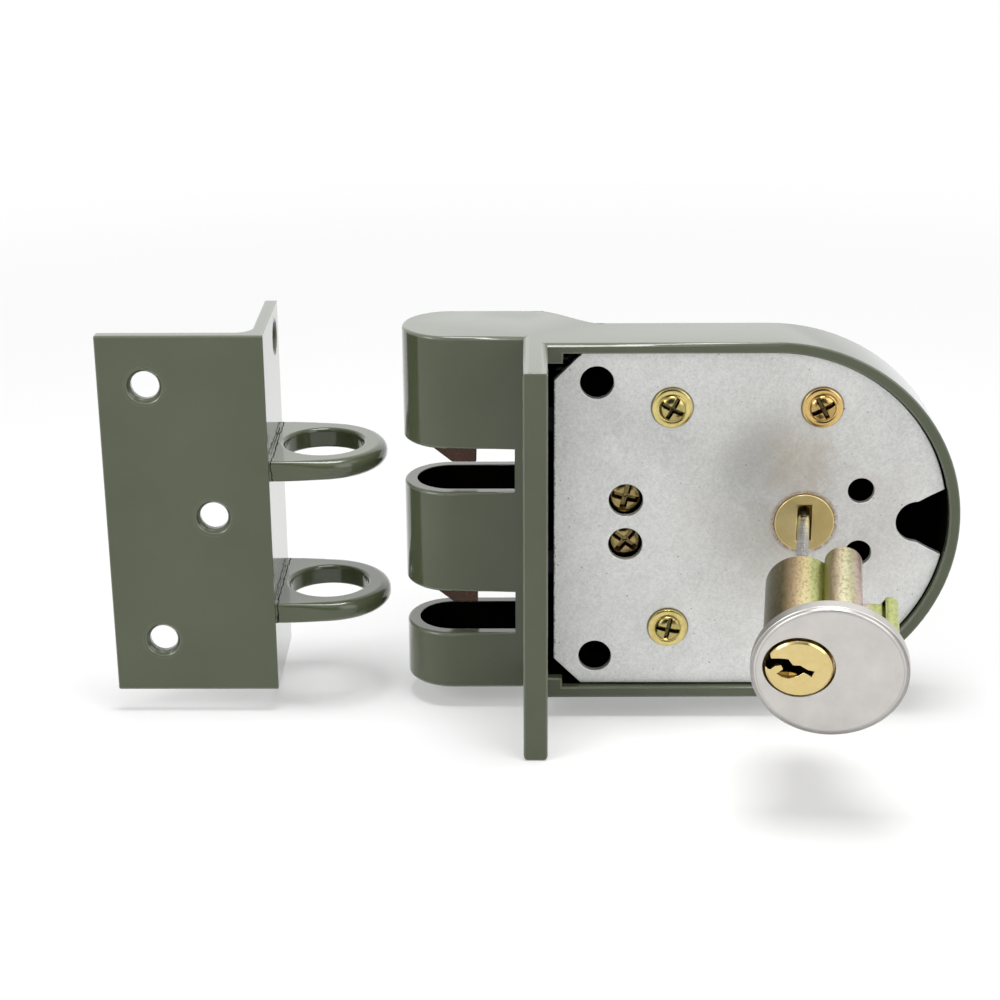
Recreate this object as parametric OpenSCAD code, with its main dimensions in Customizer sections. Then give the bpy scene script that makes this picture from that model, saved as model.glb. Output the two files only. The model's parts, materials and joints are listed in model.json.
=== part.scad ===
// Rim night latch with two drop bolts, its rim cylinder and its ring strike.
// Origin: axis of the hub, on the face of the door. +X runs away from the door's edge,
// +Y into the room, +Z up.

/* [Case] */
// Height of the case
case_h = 88.9; // [86:0.1:96]
// Distance from the door's edge to the axis of the hub
backset = 60.3; // [58:0.1:66]
// Centre of the round end, measured from the hub towards the edge
round_back = 8.2; // [6:0.1:10]
// Depth of the body of the case
case_d = 20; // [19:0.1:24]
// Thickness of the walls
wall_t = 2.6; // [2:0.1:3]
// Rounding of the back edge
edge_r = 4; // [3:0.1:5]

/* [Flange] */
// Thickness of the flange on the door's edge
flange_t = 5.6; // [4.5:0.1:7]
// How far the flange reaches over the door's edge
flange_reach = 22.9; // [18:0.1:30]
// How far the flange hangs below the case
flange_drop = 5.4; // [1:0.1:8]
// Radius of the screw holes in the flange
flange_hole_r = 2.4; // [1.5:0.1:3]
// Distance of the screw holes in the flange from the ends of the case
flange_hole_in = 14.45; // [10:0.05:20]

/* [Lobes] */
// Reach of the lobes past the door's edge
lobe_reach = 34.1; // [33:0.1:38]
// Depth of the lobes' front face behind the door's face
lobe_y0 = 5.3; // [5:0.1:6]
// Depth of a lobe from front to back
lobe_d = 22.7; // [22:0.1:26]
// Thickness of the lobes' walls
lobe_wall = 3; // [2.4:0.1:3.2]
// Thickness of the wall at the root of the lobes
root_t = 2; // [1:0.1:3]
// Height of the top lobe
top_lobe_h = 27.4; // [26:0.1:29]
// Height of the middle lobe
mid_lobe_h = 25.4; // [24:0.1:27]
// Height of each gap between the lobes
gap_h = 10.8; // [9.5:0.1:12]

/* [Back plate] */
// Thickness of the back plate
plate_t = 1.8; // [1.2:0.1:2.2]
// Depth of the plate below the rim
plate_sink = 2; // [1:0.1:2.4]
// Cut across the two square corners of the plate
corner_cut = 6.5; // [5:0.1:8]
// Radius of the mounting holes
mount_hole_r = 3.9; // [3:0.1:4.2]
// Distance of the mounting holes from the door's edge
mount_x = 11.4; // [11:0.1:12]
// Distance of the mounting holes from the ends of the case
mount_in = 10.05; // [9.2:0.05:11.5]
// Radius of the access holes over the guide screws
access_r = 4; // [3.6:0.1:4.4]
// Distance between the guide screws
guide_gap = 11; // [10.5:0.1:12]
// Distance of the guide screws from the door's edge
guide_x = 18.4; // [18:0.1:20]
// Radius of the two small holes beside the hub
small_hole_r = 3.1; // [2:0.1:3.2]
// Distance between the two small holes
small_gap = 15.6; // [14:0.1:17]
// Distance of the small holes from the hub
small_x = 13; // [12:0.1:15]

/* [Plate screws] */
// Distance of the first pair of plate screws from the door's edge
screw_x = 28.8; // [28:0.1:32]
// Distance between the two pairs
screw_pair = 34.6; // [33:0.1:36]
// Distance of the plate screws from the ends of the case
screw_in = 16.85; // [15.5:0.05:18]
// Height of the middle of a pair above the hub
screw_rise = 0.8; // [0:0.1:2]
// Radius of the heads
head_r = 4.75; // [4:0.05:4.9]
// Radius of the shanks
shank_r = 1.9; // [1.5:0.1:2.2]
// Depth of the thread in the posts
screw_len = 9; // [6:0.1:11]

/* [Hub and cam] */
// Radius of the face of the hub
hub_r = 7; // [6.5:0.1:7.5]
// Width of the slot for the tailpiece
slot_w = 3.5; // [3.3:0.1:4]
// Height of the slot for the tailpiece
slot_h = 9; // [8.6:0.1:10]
// Radius of the barrel of the hub
barrel_r = 6; // [5.6:0.1:6.2]
// Distance of the cam pin from the hub's axis
cam_r = 12; // [11.5:0.1:12.5]
// Turn of the hub
hub_turn = 40; // [36:1:42]
// Radius of the cam pin
cam_pin_r = 1.6; // [1.3:0.1:1.8]

/* [Bolts] */
// Width of a bolt
bolt_w = 11.9; // [10:0.1:12.4]
// Depth of a bolt
bolt_d = 9.2; // [8:0.1:9.3]
// Height of a bolt
bolt_h = 19; // [18:0.1:20]
// Reach of a bolt into its gap
bolt_out = 5.5; // [4:0.1:6]
// Width of the bevel on the bolt's tip
bevel_w = 6.1; // [4:0.1:7]
// Height of that bevel
bevel_h = 4.9; // [3:0.1:6]
// Distance of the bolts from the door's edge
bolt_x = 22.75; // [22.3:0.05:23]
// Thickness of the slide plate and its arms
slide_t = 2.4; // [2:0.1:2.6]
// Wire of the bolt spring
spring_wire = 0.7; // [0.5:0.1:0.8]
// Turns of the bolt spring
spring_turns = 6; // [5:1:7]

/* [Thumbturn] */
// Radius of the base of the thumbturn
turn_r = 14; // [12:0.1:16]
// Length of the grip
grip_l = 32; // [28:0.5:36]
// Height of the grip
grip_h = 15; // [12:0.5:18]
// Thickness of the grip
grip_w = 7; // [6:0.5:8]

/* [Cylinder] */
// Droop of the cylinder below the hub's axis
droop = 11.9; // [0:0.1:12.5]
// Swing of the cylinder towards the door's edge
swing = 7; // [0:0.1:7.5]
// Length from the plug's face to the back of the barrel
barrel_l = 31; // [29:0.1:34]
// Free length of the tailpiece
tail_free = 25; // [24:0.1:34]
// Length of the tailpiece in the hub
tail_in = 4; // [3:0.1:4.4]
// Thickness of the tailpiece
tail_t = 2.8; // [2:0.1:2.9]
// Width of the tailpiece
tail_w = 6; // [5:0.1:6.2]
// Radius of the round face
face_r = 17; // [16.5:0.1:18]
// Thickness of the round face
face_t = 3.2; // [2.8:0.1:3.6]
// Offset of the face from the axis of the plug
face_off = 6.6; // [6:0.1:7]
// Turn of that offset, clockwise from level
face_turn = 7.6; // [-20:0.1:30]
// Radius of the barrel of the cylinder
shell_r = 8; // [7.8:0.1:8.6]
// Radius of the plug
plug_r = 6.35; // [6.1:0.05:6.5]
// Radius of the plug's face
plug_face_r = 7.2; // [7:0.05:7.5]
// Turn of the keyway and the pins, clockwise from level
key_turn = 19; // [0:1:45]
// Radius of the housing of the pins
housing_r = 4.3; // [4.1:0.1:4.6]
// Distance from the barrel's axis to the middle of that housing
housing_x = 10; // [9.8:0.1:10.4]
// Radius of the two screw posts
post_r = 4.2; // [3.9:0.1:4.5]
// Distance from the barrel's axis to a screw post
post_x = 10.9; // [10.6:0.1:11.4]
// Angle between a screw post and the pins
post_turn = 53; // [50:1:60]
// Pin stacks
stacks = 5; // [3:1:5]
// Distance between the pin stacks
stack_gap = 4; // [3.6:0.1:4.2]

/* [Strike] */
// Height of the strike
strike_h = 89.4; // [86:0.1:96]
// Width of the leg with three holes
leg_w = 39; // [36:0.1:44]
// Depth of the leg with the rings
leg_d = 30.6; // [30.2:0.1:34]
// Thickness of the plate
strike_t = 3; // [2.4:0.1:3.4]
// Rounding inside the bend
bend_r = 4; // [2:0.1:5]
// Distance from the door's edge to the strike
strike_gap = 65.2; // [65:0.1:80]
// Depth of the strike's front behind the door's face
strike_y = 3; // [2.4:0.1:3.4]
// Radius of the screw holes
strike_hole_r = 3.3; // [2.6:0.1:3.5]
// Radius of the countersinks
strike_sink_r = 4.4; // [4.1:0.1:5]
// Radius of the hole in a ring
ring_hole_r = 9.5; // [9.2:0.1:10]
// Thickness of a ring
ring_t = 5; // [4:0.1:5.4]
// Distance of a ring's centre from its leg
ring_x = 11.7; // [11.5:0.1:13]
// Chamfer round a ring
ring_chamfer = 1.3; // [0.6:0.1:1.8]

/* [Hidden] */
$fn = 96;
paint = [0.34, 0.37, 0.31];
zinc = [0.78, 0.79, 0.79];
brass = [0.80, 0.63, 0.28];
brass_zinc = [0.70, 0.66, 0.42];
nickel = [0.74, 0.73, 0.71];
steel = [0.60, 0.60, 0.60];
bronze = [0.22, 0.14, 0.11];

// Clearances
run = 0.05;
slip = 0.2;
fit = 0.02;
cut = 1;

// Case
half_h = case_h / 2;
edge_x = -backset;
round_x = -round_back;
left_x = edge_x - flange_t;
lobe_x = edge_x - lobe_reach;
lobe_r = lobe_d / 2;
lobe_y = lobe_y0 + lobe_r;
lobe_y1 = lobe_y0 + lobe_d;
root_x = left_x - root_t;
floor_y = case_d - wall_t;
top_z = half_h - top_lobe_h;
mid_z = top_z - gap_h;
low_z = mid_z - mid_lobe_h;
base_z = low_z - gap_h;
lobe_step = gap_h + mid_lobe_h;
lobe_edge_r = 1;
flange_hole_gap = case_h - 2 * flange_hole_in;
sweep_out = 3.5;
sweep_x = edge_x - sweep_out;
sweep_l = 18.2;
sweep_y1 = case_d - edge_r;
sweep_steps = 24;

// Back plate
plate_y = plate_sink;
plate_back = plate_y + plate_t;
plate_gap = 0.35;
plate_left = 1.5;
mount_gap = case_h - 2 * mount_in;
screw_gap = case_h - 2 * screw_in;
plate_r = half_h - wall_t - plate_gap;
mount_px = edge_x + mount_x;
guide_px = edge_x + guide_x;
screw_px = edge_x + screw_x;
post_or = 4.2;
mount_or = 4.6;
mount_thread_r = 2.4;
mount_boss_y = 8;
lug_w = 3.6;
lug_h = 5;
notch_r = 10;
notch_in = 21.5;
notch_shoulder = [3, 6.7];
notch_flare = 10;
screw_head_h = 1.9;
flange_h = 0.9;
dome_r = head_r * 0.66;
dome_edge = 0.35;
screw_tip = 0.6;

// Slide plate and bolts
slide_y = 9.6;
slide_y1 = slide_y + slide_t;
lift = 2 * cam_r * sin(hub_turn / 2);
pin_z = -lift / 2;
bar_w = 4.8;
bar_x = edge_x + plate_left;
arm_h = 6;
arm_rise = 3;
arm_z = top_z + arm_rise;
low_arm_z = arm_z - lobe_step;
bar_top = arm_z + arm_h;
bolt_cx = edge_x - bolt_x;
bolt_left = bolt_cx - bolt_w / 2;
bolt_right = bolt_cx + bolt_w / 2;
bolt_y = slide_y1 + slip;
arm_in = 3;
arm_end = bolt_left + arm_in;
bolt_drop = bolt_out + arm_rise + arm_h / 2;
guide_post_r = 2.25;
guide_top_y = slide_y - slip;
guide_head_r = 4.3;
guide_head_y = plate_back + 0.4;
guide_dome = 1;
guide_deep = 5;
tip_gap = 0.4;
small_r = 1.2;
pad_w = 11;
pad_end = 5.4;
web_z0 = -9;
web_z1 = 1;
web_gap = 0.8;
bolt_thread_l = 7;
bolt_head_r = 2.4;
bolt_head_h = 1;
bolt_cross_h = 0.6;
peg_r = 0.9;
peg_gap = 1.5;
spring_r = bar_w / 2 - spring_wire / 2;
spring_x = bar_x + bar_w / 2;
spring_y = slide_y + slide_t / 2;
spring_top = half_h - wall_t;

// Hub
hub_y = 1.4;
hub_collar_r = 8.6;
hub_collar_t = 1.5;
hub_back = floor_y - slip;
spigot_r = 5;
spigot_out = 4;
spigot_end = case_d + spigot_out;
slot_deep = 12;
hub_thread_l = 6;
cam_gap = 0.4;
cam_y = slide_y1 + cam_gap;
cam_t = 2.6;
cam_hub_r = 8;
cam_rim = 0.6;
pin_out = 1;
pin_y0 = slide_y - pin_out;

// Thumbturn
base_t = 3;
base_bevel = 1;
boss_r = 7.5;
boss_h = 3;
head_deep = 3;
turn_head_r = 2.5;
turn_y = case_d + slip;
turn_top = turn_y + base_t + grip_h;
driver_w = 0.7;
driver_deep = 0.8;

// Cylinder, in its own frame: its axis is Y and its hub end is at Y = 0
pivot_y = hub_y + tail_in / 2;
tail_y1 = tail_in / 2;
barrel_y1 = -tail_in / 2 - tail_free;
face_y = barrel_y1 - barrel_l;
plug_t = 2.4;
plug_proud = 0.9;
plug_bevel = 0.45;
plug_ring = 0.5;
plug_end = 1;
plug_screw_l = 4;
face_seat = 1;
face_step = 0.2;
face_bevel = 0.25;
face_ledge = 1.3;
face_wall = 1.4;
face_lip = 0.6;
seat_rim = 2;
stack_in = 9;
stack_y = face_y + stack_in;
stack_y1 = stack_y + (stacks - 1) * stack_gap;
chamber_r = 1.5;
chamber_x = 13.2;
pin_gap = 0.15;
key_pin_x = 2.2;
driver_l = 2.6;
spring_inset = 0.4;
cap_t = 0.6;
cap_w = 3.9;
cap_end = 2.35;
cap_seat = 0.15;
neck_w = 6;
neck_in = 3;
housing_in = 1;
post_long = 1;
post_bore_r = 1.9;
post_bore_l = 20;
web_w = 2;
ear_x = 18.9;
ear_z = 7.2;
ear_r = 1.9;
ear_end = 15;
ear_long = 0.3;
ear_bore_r = 0.9;
ear_slit = 1.2;
ear_bore_in = 0.6;
collar_r = face_r - face_wall - face_off - slip;
clip_rim = 1;
clip_t = 0.5;
clip_gap = 6;
groove_t = 0.6;
groove_deep = 1;
groove_y = barrel_y1 + 2 * run;
end_t = 1.2;
end_inset = 0.6;
rivet_r = 0.6;
rivet_x = 3.6;
key_l = 26;

// Strike
corner_x = edge_x - strike_gap;
strike_rise = 0.6;
strike_z = strike_rise - half_h;
ring_y = leg_d / 2;
ring_inset = 0.1;
ring_r = leg_d / 2 - ring_inset;
ring_lift = 0.6;
ring_z = (top_z + mid_z) / 2 - strike_z + ring_lift;
tenon_w = 17;
tenon_gap = 1.2;
front_holes = [[-28, 77.2], [-13.6, 44.8], [-27.4, 13.2]];
side_hole = [22.8, 82.4];

// A cylinder along Y from y0 to y1
module rod(r, y0, y1, x = 0, z = 0, r2 = -1)
    translate([x, y0, z]) rotate([-90, 0, 0])
        cylinder(h = y1 - y0, r1 = r, r2 = r2 < 0 ? r : r2);

// A block between two corners
module block(a, b)
    translate([for (i = [0:2]) min(a[i], b[i])]) cube([for (i = [0:2]) abs(b[i] - a[i])]);

// A square with one rounded corner, drawn from the axis out and from the front back
module edge_profile(r, y0, y1, f) {
    square_w = r - f;
    translate([0, y0]) square([square_w, y1 - y0]);
    translate([0, y0]) square([r, y1 - y0 - f]);
    intersection() {
        translate([square_w, y1 - f]) circle(f);
        translate([square_w, y1 - f]) square(f);
    }
}

// Round end of the case's body, with a rounded back edge, from x1 on
module round_end(x1, r, y0, y1, f) intersection() {
    translate([round_x, 0, 0]) rotate([-90, 0, 0]) rotate_extrude() edge_profile(r, y0, y1, f);
    block([x1, y0 - cut, -r - cut], [round_x + r + cut, y1 + cut, r + cut]);
}

// Straight part of the case's body, with the same edge
module straight_part(x0, r, y0, y1, f)
    translate([x0, 0, 0]) rotate([90, 0, 90]) linear_extrude(round_x - x0) {
        rotate(-90) edge_side(r, y0, y1, f);
        mirror([0, 1]) rotate(-90) edge_side(r, y0, y1, f);
    }

// The same profile turned so that the depth runs along the sheet's first axis
module edge_side(r, y0, y1, f) mirror([1, 0]) edge_profile(r, y0, y1, f);

// Plan of one lobe, from its round end to x1
module lobe_plan(x1, r) {
    translate([lobe_x + lobe_r, lobe_y]) circle(r);
    translate([lobe_x + lobe_r, lobe_y - r]) square([x1 - lobe_x - lobe_r, 2 * r]);
}

module lobe(z0, z1) translate([0, 0, z0]) linear_extrude(z1 - z0) lobe_plan(left_x + fit, lobe_r);

module lobe_hollow(z0, z1) translate([0, 0, z0]) linear_extrude(z1 - z0)
    lobe_plan(root_x, lobe_r - lobe_wall);

// Plan of the shoulder that sweeps from the back of the lobes down into the body
function sweep_y(t) = sweep_y1 + (lobe_y1 - sweep_y1) * (1 + cos(180 * t)) / 2;

module shoulder() intersection() {
    translate([0, 0, -half_h]) linear_extrude(case_h) polygon(concat(
        [[left_x, lobe_y0], [left_x, lobe_y1]],
        [for (i = [0:sweep_steps]) let (t = i / sweep_steps) [sweep_x + t * sweep_l, sweep_y(t)]],
        [[sweep_x + sweep_l, lobe_y0]]));
    translate([left_x - cut, 0, 0]) rotate([90, 0, 90])
        linear_extrude(sweep_l + flange_t + 2 * cut) {
            translate([0, -half_h + lobe_edge_r]) square([lobe_y1, case_h - 2 * lobe_edge_r]);
            translate([0, -half_h]) square([lobe_y1 - lobe_edge_r, case_h]);
            for (s = [-1, 1]) translate([lobe_y1 - lobe_edge_r, s * (half_h - lobe_edge_r)])
                circle(lobe_edge_r);
        }
}

module screw_places()
    for (x = [screw_px, screw_px + screw_pair], s = [-1, 1])
        translate([x, 0, screw_rise + s * screw_gap / 2]) children();

module mount_places() for (s = [-1, 1]) translate([mount_px, 0, s * mount_gap / 2]) children();

module guide_places() for (s = [-1, 1]) translate([guide_px, 0, s * guide_gap / 2]) children();

// Window in the root of a lobe, which an arm of the slide plate passes
module arm_window(z)
    block([root_x - cut, slide_y - slip, z - slip], [edge_x + cut, slide_y1 + slip, z + arm_h + lift + slip]);

module case() color(paint) difference() {
    union() {
        difference() {
            union() {
                round_end(round_x, half_h, 0, case_d, edge_r);
                straight_part(edge_x - fit, half_h, 0, case_d, edge_r);
                shoulder();
            }
            straight_part(edge_x, half_h - wall_t, -cut, floor_y, edge_r - wall_t);
            round_end(round_x - fit, half_h - wall_t, -cut, floor_y, edge_r - wall_t);
        }
        difference() {
            block([left_x, -flange_reach, -half_h - flange_drop], [edge_x, lobe_y0, half_h]);
            block([left_x - cut, 0, -half_h - flange_drop - cut], [edge_x + cut, lobe_y0 + cut, -half_h]);
        }
        lobe(top_z, half_h);
        lobe(low_z, mid_z);
        lobe(-half_h, base_z);
        block([root_x, lobe_y0, -half_h], [left_x + fit, lobe_y1, half_h]);
        for (s = [-1, 1]) block([edge_x, 0, s * half_h], [edge_x + lug_w, plate_y + plate_t,
            s * (half_h - lug_h)]);
        screw_places() rod(post_or, plate_back, floor_y + cut);
        mount_places() rod(mount_or, mount_boss_y, floor_y + cut);
        guide_places() rod(guide_post_r, guide_top_y, floor_y + cut);
    }
    lobe_hollow(top_z - cut, half_h - wall_t);
    lobe_hollow(low_z - cut, mid_z + cut);
    lobe_hollow(-half_h + wall_t, base_z + cut);
    arm_window(arm_z);
    arm_window(low_arm_z);
    screw_places() rod(shank_r + fit, plate_back - cut, plate_back + screw_len);
    mount_places() rod(mount_thread_r, mount_boss_y - cut, floor_y);
    guide_places() rod(small_r + fit, guide_top_y - cut, guide_top_y + guide_deep);
    rod(spigot_r + run, floor_y - cut, case_d + cut);
    for (s = [-1, 1]) translate([left_x - cut, -flange_reach / 2, s * flange_hole_gap / 2])
        rotate([0, 90, 0]) cylinder(h = flange_t + 2 * cut, r = flange_hole_r);
}

// Outline of the back plate in X and Z
module plate_outline() difference() {
    x0 = edge_x + plate_left;
    union() {
        translate([round_x, 0]) circle(plate_r);
        polygon([[x0, -plate_r + corner_cut], [x0 + corner_cut, -plate_r], [round_x, -plate_r],
            [round_x, plate_r], [x0 + corner_cut, plate_r], [x0, plate_r - corner_cut]]);
    }
    translate([x0 - case_h, -half_h]) square([case_h, case_h]);
    translate([notch_in + notch_r / 2, 0]) circle(notch_r / 2);
    x1 = notch_in + notch_r / 2;
    x2 = x1 + notch_shoulder[0];
    polygon([[x1, -notch_r / 2], [x1, notch_r / 2], [x2, notch_shoulder[1]],
        [round_x + half_h, notch_flare], [round_x + half_h, -notch_flare], [x2, -notch_shoulder[1]]]);
}

module back_plate() color(zinc) difference() {
    translate([0, plate_back, 0]) rotate([90, 0, 0]) linear_extrude(plate_t) plate_outline();
    screw_places() rod(shank_r + slip, plate_y - cut, plate_back + cut);
    mount_places() rod(mount_hole_r, plate_y - cut, plate_back + cut);
    guide_places() rod(access_r, plate_y - cut, plate_back + cut);
    for (s = [-1, 1]) rod(small_hole_r, plate_y - cut, plate_back + cut, small_x, s * small_gap / 2);
    rod(hub_r + run, plate_y - cut, plate_back + cut);
}

// Cross recess of a screw head, cut from y towards the shank
module cross(r, y, deep) for (a = [0, 90]) rotate([0, a + 20, 0])
    block([-r * 0.62, y - cut, -r * 0.13], [r * 0.62, y + deep, r * 0.13]);

module plate_screws() color(brass) screw_places() difference() {
    y0 = plate_y - screw_head_h;
    y1 = plate_y - flange_h;
    union() {
        rod(dome_r * 0.7, y0, y1 - dome_edge, r2 = dome_r);
        rod(dome_r, y1 - dome_edge, y1);
        rod(head_r, y1, plate_y);
        rod(shank_r, plate_y - fit, plate_back + screw_len - screw_tip);
    }
    cross(dome_r * 1.25, y0, screw_head_h * 0.7);
}

module guide_screws() color(brass) guide_places() difference() {
    union() {
        rod(guide_head_r * 0.75, guide_head_y, guide_head_y + guide_dome, r2 = guide_head_r);
        rod(guide_head_r, guide_head_y + guide_dome, guide_top_y);
        rod(small_r, guide_top_y - fit, guide_top_y + guide_deep - tip_gap);
    }
    cross(guide_head_r * 1.1, guide_head_y, guide_dome * 1.4);
}

module hub() color(brass) difference() {
    union() {
        rod(hub_r, hub_y, plate_back + slip);
        rod(hub_collar_r, plate_back + slip, plate_back + slip + hub_collar_t);
        rod(barrel_r, plate_back + slip, hub_back);
        rod(spigot_r, hub_back - fit, spigot_end);
    }
    block([-slot_w / 2, hub_y - cut, -slot_h / 2], [slot_w / 2, slot_deep, slot_h / 2]);
    rod(small_r + run, spigot_end - hub_thread_l, spigot_end + cut);
}

module cam_arm() color(steel) rotate([0, -hub_turn / 2, 0]) difference() {
    union() {
        rod(cam_hub_r, cam_y, cam_y + cam_t);
        block([-cam_r, cam_y, -cam_pin_r - cam_rim], [0, cam_y + cam_t, cam_pin_r + cam_rim]);
        rod(cam_pin_r + cam_rim, cam_y, cam_y + cam_t, -cam_r, 0);
        rod(cam_pin_r, pin_y0, cam_y + cam_t, -cam_r, 0);
    }
    rod(barrel_r + fit, cam_y - cut, cam_y + cam_t + cut);
}

module slide_plate() color(steel) difference() {
    union() {
        block([bar_x, slide_y, low_arm_z], [bar_x + bar_w, slide_y1, bar_top]);
        block([bar_x, slide_y, web_z0], [-barrel_r - web_gap, slide_y1, web_z1]);
        block([guide_px - pad_w / 2, slide_y, -guide_gap / 2 - lift - pad_end],
            [guide_px + pad_w / 2, slide_y1, guide_gap / 2 + pad_end]);
        for (z = [arm_z, low_arm_z]) block([arm_end, slide_y, z], [bar_x + cut, slide_y1, z + arm_h]);
    }
    translate([guide_px, 0, 0]) {
        rod(guide_post_r + slip, slide_y - cut, slide_y1 + cut, 0, guide_gap / 2);
        rod(guide_post_r + slip, slide_y - cut, slide_y1 + cut, 0, -guide_gap / 2 - lift);
        block([-guide_post_r - slip, slide_y - cut, -guide_gap / 2 - lift],
            [guide_post_r + slip, slide_y1 + cut, guide_gap / 2]);
    }
    block([-cam_r - cam_pin_r - slip, slide_y - cut, pin_z - cam_pin_r - slip],
        [cut, slide_y1 + cut, pin_z + cam_pin_r + slip]);
    for (z = [arm_z, low_arm_z]) {
        rod(small_r + run, slide_y - cut, slide_y1 + cut, bolt_cx, z + arm_h / 2);
        rod(bolt_head_r + run, slide_y - fit, slide_y + bolt_head_h, bolt_cx, z + arm_h / 2,
            small_r + run);
    }
}

// A bolt whose tip is at z
module bolt(z) color(bronze) difference() {
    translate([0, bolt_y + bolt_d, z]) rotate([90, 0, 0]) linear_extrude(bolt_d)
        polygon([[bolt_left, bevel_h], [bolt_left + bevel_w, 0], [bolt_right, 0],
            [bolt_right, bolt_h], [bolt_left, bolt_h]]);
    rod(small_r + run, bolt_y - cut, bolt_y + bolt_thread_l, bolt_cx, z + bolt_drop);
}

module upper_bolt() bolt(top_z - bolt_out);

module lower_bolt() bolt(top_z - bolt_out - lobe_step);

module bolt_screws() color(steel) for (z = [arm_z, low_arm_z])
    translate([bolt_cx, 0, z + arm_h / 2]) difference() {
        union() {
            rod(bolt_head_r, slide_y, slide_y + bolt_head_h, r2 = small_r);
            rod(small_r, slide_y + bolt_head_h - fit, bolt_y + bolt_thread_l - cut);
        }
        cross(bolt_head_r, slide_y, bolt_cross_h);
    }

// Points of a helix of rings along Z, as one closed tube
function ring_points(r, wire, turns, h, steps, sides) = [
    for (i = [0:steps]) let (a = 360 * turns * i / steps, z = wire / 2 + (h - wire) * i / steps)
        for (j = [0:sides - 1]) let (b = 360 * j / sides, q = r + wire / 2 * cos(b))
            [q * cos(a), q * sin(a), z + wire / 2 * sin(b)]];

function tube_faces(steps, sides) = concat(
    [[for (j = [sides - 1:-1:0]) j]],
    [for (i = [0:steps - 1], j = [0:sides - 1]) let (k = (j + 1) % sides)
        each [[i * sides + j, i * sides + k, (i + 1) * sides + j],
              [i * sides + k, (i + 1) * sides + k, (i + 1) * sides + j]]],
    [[for (j = [0:sides - 1]) steps * sides + j]]);

module helix(r, wire, turns, h, steps, sides)
    polyhedron(ring_points(r, wire, turns, h, steps, sides), tube_faces(steps, sides), convexity = 4);

module bolt_spring() color(steel) translate([spring_x, spring_y, bar_top + run])
    helix(spring_r, spring_wire, spring_turns, spring_top - bar_top - 2 * run, 8 * spring_turns, 6);

module spring_peg() color(steel) translate([spring_x, spring_y, bar_top])
    cylinder(h = spring_top - bar_top - lift - peg_gap, r = peg_r);

module thumbturn() color(paint) difference() {
    union() {
        rod(turn_r, turn_y, turn_y + base_t - base_bevel);
        rod(turn_r, turn_y + base_t - base_bevel, turn_y + base_t, r2 = turn_r - base_bevel);
        rod(boss_r, turn_y + base_t - fit, turn_y + base_t + boss_h);
        translate([0, turn_y + base_t, 0]) rotate([-90, 0, 0]) linear_extrude(grip_h) hull()
            for (s = [-1, 1]) translate([0, s * (grip_l - grip_w) / 2]) circle(grip_w / 2, $fn = 32);
    }
    rod(spigot_r + fit, turn_y - cut, spigot_end + slip);
    rod(small_r + run, turn_y, turn_top + cut);
    rod(turn_head_r + slip, turn_top - head_deep, turn_top + cut);
}

module turn_screw() color(steel) difference() {
    head_y = turn_top - head_deep;
    union() {
        rod(turn_head_r, head_y + run, turn_top - driver_deep);
        rod(small_r, spigot_end - hub_thread_l + cut, head_y + 2 * run);
    }
    rotate([0, 20, 0]) block([-turn_r, turn_top - 2 * driver_deep, -driver_w / 2],
        [turn_r, turn_top + cut, driver_w / 2]);
}

// Everything on the cylinder is drawn along Y and then hung in the hub by its tailpiece
module hang() translate([0, pivot_y, 0]) rotate([droop, 0, -swing]) children();

// What lies in line with the keyway and the pins
module keyed() hang() rotate([0, key_turn, 0]) children();

// The two screw posts, on either side of the pins
module post_places() for (s = [-1, 1]) rotate([0, s * post_turn, 0]) translate([post_x, 0, 0])
    children();

// Ear beside the upper post: a web with a screw eye that is open at its upper left
module ear(y0) difference() {
    x0 = post_x * cos(post_turn - key_turn);
    y1 = face_y + ear_end;
    union() {
        block([x0, y0, ear_z - ear_r], [ear_x, y1 - ear_long, ear_z - ear_r + web_w]);
        rod(ear_r, y0, y1, ear_x, ear_z);
    }
    translate([ear_x - ear_bore_in, 0, ear_z]) {
        rod(ear_bore_r, y0 - cut, y1 + cut);
        rotate([0, -45, 0]) block([-ear_slit / 2, y0 - cut, 0], [ear_slit / 2, y1 + cut, 2 * ear_r]);
    }
}

module cylinder_body() color(brass_zinc) difference() {
    y0 = face_y + face_seat;
    y1 = face_y + face_t - slip;
    union() {
        hang() {
            rod(shell_r, y0, barrel_y1);
            rod(collar_r, y0, face_y + face_t);
            ear(y1);
        }
        keyed() {
            rod(housing_r, y1, barrel_y1 - housing_in, housing_x);
            block([0, y1, -neck_w / 2], [housing_x, barrel_y1 - neck_in, neck_w / 2]);
            post_places() rod(post_r, y1, barrel_y1 + post_long);
        }
    }
    hang() {
        rod(plug_r + run, y0 - cut, barrel_y1 + cut);
        rod(plug_face_r + plug_ring, face_y - cut, face_y + plug_t + slip);
        rod(plug_r + clip_rim + slip, barrel_y1 + run, barrel_y1 + post_long + cut);
    }
    keyed() {
        for (i = [0:stacks - 1]) translate([0, stack_y + i * stack_gap, 0]) rotate([0, 90, 0])
            cylinder(h = chamber_x, r = chamber_r);
        block([chamber_x - cap_seat - cap_t - run, stack_y - cap_end - run, -cap_w / 2 - run],
            [housing_x + housing_r + cut, stack_y1 + cap_end + run, cap_w / 2 + run]);
        post_places() rod(post_bore_r, barrel_y1 + post_long - post_bore_l, barrel_y1 + post_long + cut);
    }
}

module cylinder_face() color(nickel) hang() rotate([0, face_turn, 0]) difference() {
    union() {
        rod(face_r - face_ledge, face_y - face_step, face_y, face_off, r2 = face_r - face_bevel);
        rod(face_r, face_y, face_y + face_t - face_lip, face_off);
    }
    rod(plug_face_r + plug_ring, face_y - face_step - cut, face_y + face_seat + cut);
    difference() {
        rod(face_r - face_wall, face_y + face_seat, face_y + face_t + cut, face_off);
        rod(plug_face_r + seat_rim, face_y, face_y + face_seat);
    }
}

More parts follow.
